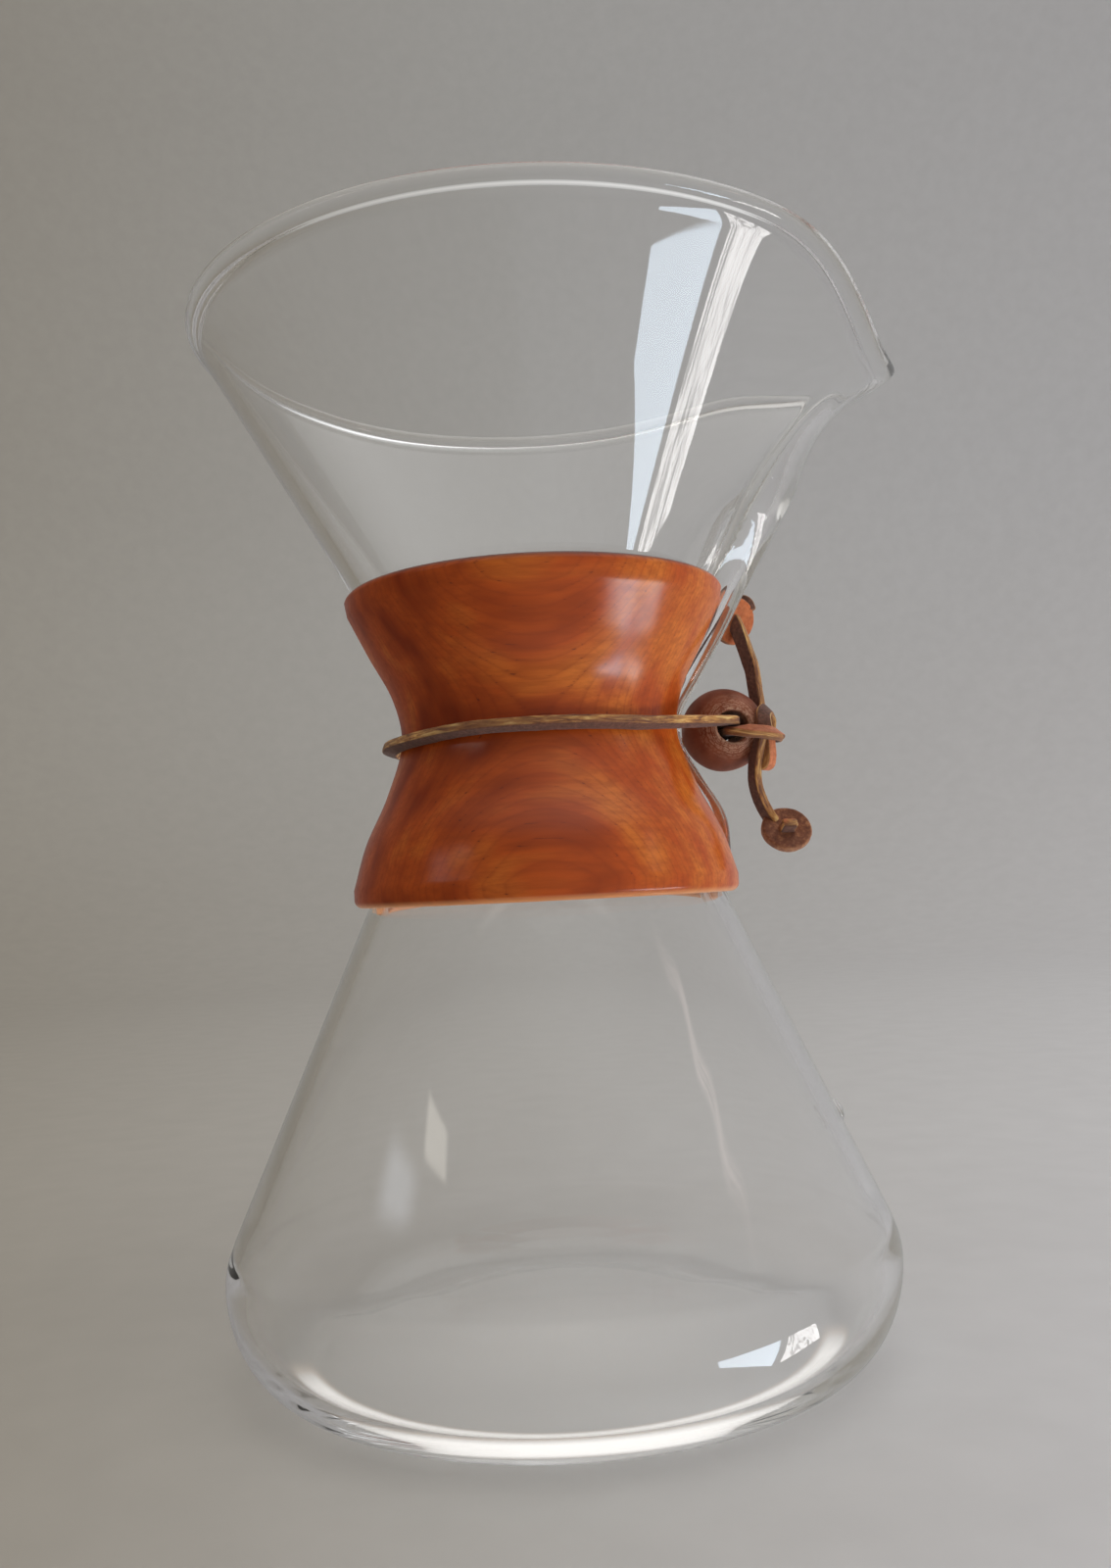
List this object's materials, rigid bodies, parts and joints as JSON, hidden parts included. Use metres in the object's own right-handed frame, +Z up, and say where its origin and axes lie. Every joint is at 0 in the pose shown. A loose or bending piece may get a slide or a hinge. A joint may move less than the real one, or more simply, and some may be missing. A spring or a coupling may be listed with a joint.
{
  "type": "hourglass pour-over coffee maker",
  "caption": "Hourglass glass pour-over coffee maker with a spout and air channel, a two-piece wooden collar tied by a leather thong, and a wooden bead.",
  "frame": {"origin": "centre of the flat underside of the base", "axes": "+Z up along the vessel's axis, +X towards the spout, its air channel and the bead, -Y the front"},
  "size_m": [0.1444, 0.1346, 0.2062],
  "materials": {
    "clear_glass": "clear polished borosilicate glass",
    "collar_wood": "orange-brown stain under gloss lacquer",
    "bead_wood": "dark turned wood, satin",
    "thong_leather": "rawhide lace, matte, golden flesh side",
    "disc_leather": "matte russet leather"
  },
  "bodies": {
    "root": {"glass_vessel": "clear_glass", "level_button": "clear_glass", "thong_pass_front": "thong_leather", "thong_pass_back": "thong_leather", "thong_knot": "thong_leather"},
    "front_half": {"collar_front": "collar_wood", "thong_band_front": "thong_leather"},
    "back_half": {"collar_back": "collar_wood", "thong_band_back": "thong_leather"},
    "bead": {"bead": "bead_wood"},
    "upper_tail": {"thong_tail_upper": "thong_leather", "disc_upper": "disc_leather"},
    "lower_tail": {"thong_tail_lower": "thong_leather", "disc_lower": "disc_leather"}
  },
  "joints": [
    {"name": "collar_front_slide", "type": "slide", "parent": "root", "child": "front_half", "axis": [0, -1, 0], "range_m": [0, 0.009]},
    {"name": "collar_back_slide", "type": "slide", "parent": "root", "child": "back_half", "axis": [0, 1, 0], "range_m": [0, 0.009]},
    {"name": "bead_spin", "type": "hinge", "parent": "root", "child": "bead", "pos_m": [0.03735, 0, 0.121], "axis": [0.1392, -0.9903, 0], "continuous": true},
    {"name": "tail_upper_swing", "type": "hinge", "parent": "root", "child": "upper_tail", "pos_m": [0.0453, 0.0028, 0.1264], "axis": [0, 1, 0], "range_deg": [0, 80]},
    {"name": "tail_lower_swing", "type": "hinge", "parent": "root", "child": "lower_tail", "pos_m": [0.0426, -0.0046, 0.1115], "axis": [0, -1, 0], "range_deg": [-8, 45]}
  ]
}
